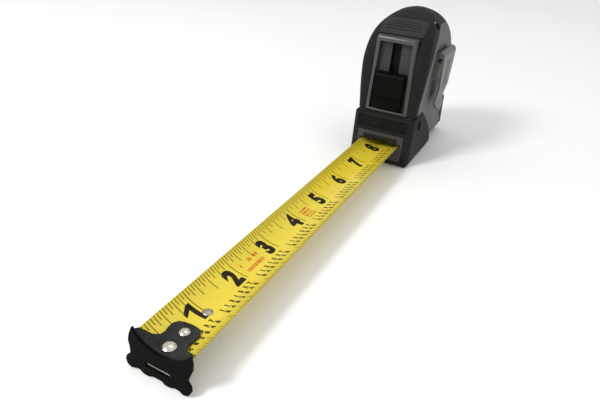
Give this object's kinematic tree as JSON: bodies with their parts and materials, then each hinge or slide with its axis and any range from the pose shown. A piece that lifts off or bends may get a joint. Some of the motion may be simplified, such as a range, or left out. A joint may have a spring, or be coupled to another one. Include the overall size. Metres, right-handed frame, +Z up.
{
  "type": "tape measure",
  "caption": "Pocket tape measure with its blade drawn out: cupped steel blade, sliding end hook, thumb lock, coiled reel in a rubber clad case, and a belt clip.",
  "frame": {"origin": "centre of the flat base the case stands on", "axes": "+Z up, -Y out of the mouth along the blade, +X towards the belt clip"},
  "size_m": [0.0424, 0.2845, 0.0857],
  "materials": {
    "shell_grey": "dark grey ABS, fine moulded texture",
    "side_grey": "mid grey ABS, satin",
    "rubber_dark": "dark grey soft rubber overmould",
    "bezel_grey": "semi-gloss mid grey ABS",
    "rail_grey": "satin grey acetal",
    "lock_black": "black semi-gloss thumb button",
    "blade_yellow": "yellow lacquered spring steel with black print",
    "hook_black": "black coated steel",
    "rivet_steel": "bright plated steel",
    "spring_steel": "blued spring steel",
    "clip_grey": "grey coated spring steel",
    "screw_steel": "dark plated steel",
    "inner_plastic": "natural nylon",
    "pad_rubber": "black rubber"
  },
  "bodies": {
    "case": {"case_left": "shell_grey", "case_right": "shell_grey", "left_bumper": "rubber_dark", "right_bumper": "rubber_dark", "nose_bumper": "rubber_dark", "rear_foot": "rubber_dark", "top_grip": "bezel_grey", "lock_bezel": "bezel_grey", "lock_track": "rail_grey", "mouth_guide": "bezel_grey", "shock_pad": "pad_rubber", "case_screws": "screw_steel", "centre_post": "inner_plastic", "reel_washers": "inner_plastic", "belt_clip": "clip_grey", "clip_screw": "screw_steel", "blade_feed": "blade_yellow"},
    "lock": {"thumb_lock": "lock_black", "lock_slider": "inner_plastic", "brake_pads": "pad_rubber"},
    "reel": {"reel_drum": "inner_plastic", "drum_cover": "inner_plastic", "power_spring": "spring_steel", "blade_coil": "blade_yellow"},
    "blade_end": {"blade_strip": "blade_yellow", "blade_end_plate": "spring_steel", "hook_rivets": "rivet_steel", "inch_rivet": "rivet_steel"},
    "hook": {"hook": "hook_black"}
  },
  "joints": [
    {"name": "lock_slide", "type": "slide", "parent": "case", "child": "lock", "axis": [0, 0, 1], "range_m": [0, 0.0165]},
    {"name": "blade_slide", "type": "slide", "parent": "case", "child": "blade_end", "axis": [0, 1, 0], "range_m": [0, 0.1975], "deforming": ["blade_strip"]},
    {"name": "reel_turn", "type": "hinge", "parent": "case", "child": "reel", "pos_m": [0, -0.001, 0.046], "axis": [1, 0, 0], "range_deg": [-1, 411], "deforming": ["power_spring"]},
    {"name": "hook_float", "type": "slide", "parent": "blade_end", "child": "hook", "axis": [0, 1, 0], "range_m": [0, 0.0012]}
  ],
  "couplings": [
    {"joint": "reel_turn", "follows": "blade_slide", "rad_per_m": 36.101}
  ]
}
